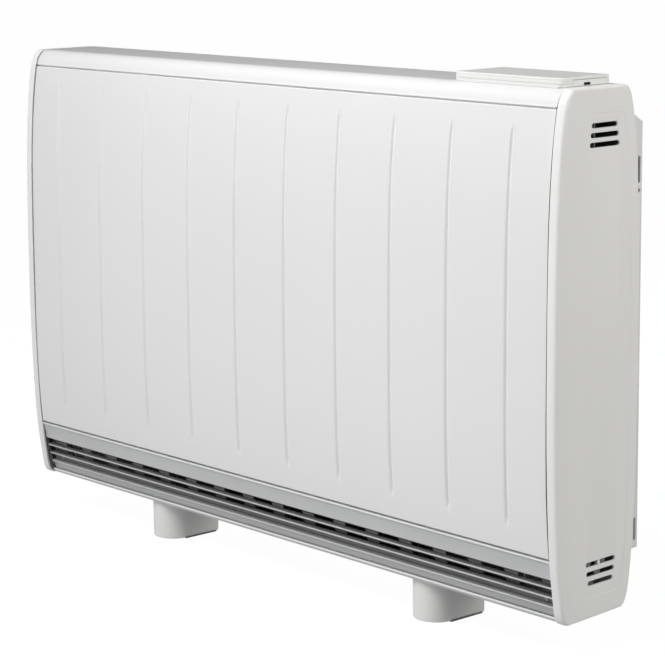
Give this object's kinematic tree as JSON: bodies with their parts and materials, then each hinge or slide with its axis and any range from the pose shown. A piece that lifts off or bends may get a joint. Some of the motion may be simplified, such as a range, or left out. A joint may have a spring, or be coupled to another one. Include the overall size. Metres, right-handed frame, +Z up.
{
  "type": "storage heater",
  "caption": "Slim white floor-standing storage heater with a bowed steel front, silver outlet grille, slotted end panels and a lidded control box on top.",
  "frame": {"origin": "on the floor, at the middle of the overall width and depth", "axes": "+Z up, +X to the end with the control box, +Y to the wall"},
  "size_m": [1.08, 0.185, 0.7261],
  "materials": {
    "white_enamel": "smooth semi-gloss white powder coat",
    "white_plastic": "fine-textured warm white moulded plastic",
    "silver_grille": "satin silver",
    "dark_sheet": "dull dark grey heat-resisting paint",
    "galvanised": "dull zinc coat with faint spangle",
    "screw_steel": "zinc-plated",
    "insulation_board": "light microporous board faced with glass cloth",
    "storage_brick": "dense dark iron-oxide brick, rough",
    "element_steel": "heat-tinted steel sheath",
    "machine_steel": "bright steel",
    "black_plastic": "black moulded plastic",
    "circuit_board": "green solder-resist",
    "display_dark": "dark glossy window",
    "grey_plastic": "mid grey moulded plastic"
  },
  "bodies": {
    "chassis": {"front_panel": "white_enamel", "top_panel": "white_enamel", "end_panel_right": "white_plastic", "end_panel_left": "white_plastic", "rear_panel": "galvanised", "base_tray": "galvanised", "outlet_grille": "silver_grille", "grille_back_plate": "dark_sheet", "grille_screw_left": "screw_steel", "grille_screw_right": "screw_steel", "foot_left": "white_plastic", "foot_right": "white_plastic", "wall_bracket_right": "galvanised", "wall_bracket_left": "galvanised", "control_housing": "white_plastic", "control_fascia": "grey_plastic", "display_window": "display_dark", "control_board": "circuit_board", "core_tray": "galvanised", "insulation_base": "insulation_board", "insulation_top": "insulation_board", "insulation_front": "insulation_board", "insulation_rear": "insulation_board", "insulation_left": "insulation_board", "insulation_right": "insulation_board", "core_brick_1_1": "storage_brick", "core_brick_1_2": "storage_brick", "core_brick_1_3": "storage_brick", "core_brick_2_1": "storage_brick", "core_brick_2_2": "storage_brick", "core_brick_2_3": "storage_brick", "core_brick_3_1": "storage_brick", "core_brick_3_2": "storage_brick", "core_brick_3_3": "storage_brick", "core_brick_4_1": "storage_brick", "core_brick_4_2": "storage_brick", "core_brick_4_3": "storage_brick", "heating_element_1": "element_steel", "heating_element_2": "element_steel", "heating_element_3": "element_steel", "inner_front_panel": "galvanised", "core_sensor": "element_steel", "fan_housing": "galvanised", "fan_motor": "machine_steel", "damper_actuator": "black_plastic", "partition_plate": "galvanised", "terminal_block": "grey_plastic", "power_board": "circuit_board", "cable_gland": "black_plastic", "thermal_cutout": "black_plastic"},
    "lid": {"control_lid": "white_plastic"},
    "fan": {"fan_impeller": "black_plastic"},
    "damper": {"mixing_damper": "machine_steel"},
    "cutout_key": {"cutout_reset_button": "grey_plastic"},
    "key_back": {"button_back": "grey_plastic"},
    "key_menu": {"button_menu": "grey_plastic"},
    "key_ok": {"button_ok": "grey_plastic"},
    "key_minus": {"button_minus": "grey_plastic"},
    "key_plus": {"button_plus": "grey_plastic"}
  },
  "joints": [
    {"name": "lid_hinge", "type": "hinge", "parent": "chassis", "child": "lid", "pos_m": [0.432, 0.0246, 0.7194], "axis": [-1, 0, 0], "range_deg": [0, 95]},
    {"name": "press_back", "type": "slide", "parent": "chassis", "child": "key_back", "axis": [0, 0, -1], "range_m": [0, 0.001], "stiffness_N_per_m": 400, "springref_m": -0.001},
    {"name": "press_menu", "type": "slide", "parent": "chassis", "child": "key_menu", "axis": [0, 0, -1], "range_m": [0, 0.001], "stiffness_N_per_m": 400, "springref_m": -0.001},
    {"name": "press_ok", "type": "slide", "parent": "chassis", "child": "key_ok", "axis": [0, 0, -1], "range_m": [0, 0.001], "stiffness_N_per_m": 400, "springref_m": -0.001},
    {"name": "press_minus", "type": "slide", "parent": "chassis", "child": "key_minus", "axis": [0, 0, -1], "range_m": [0, 0.001], "stiffness_N_per_m": 400, "springref_m": -0.001},
    {"name": "press_plus", "type": "slide", "parent": "chassis", "child": "key_plus", "axis": [0, 0, -1], "range_m": [0, 0.001], "stiffness_N_per_m": 400, "springref_m": -0.001},
    {"name": "fan_spin", "type": "hinge", "parent": "chassis", "child": "fan", "pos_m": [0, 0.008, 0.103], "axis": [1, 0, 0], "continuous": true},
    {"name": "damper_swing", "type": "hinge", "parent": "chassis", "child": "damper", "pos_m": [0, -0.03, 0.131], "axis": [-1, 0, 0], "range_deg": [0, 35]},
    {"name": "cutout_reset", "type": "slide", "parent": "chassis", "child": "cutout_key", "axis": [-1, 0, 0], "range_m": [0, 0.0015], "stiffness_N_per_m": 400, "springref_m": -0.001}
  ]
}
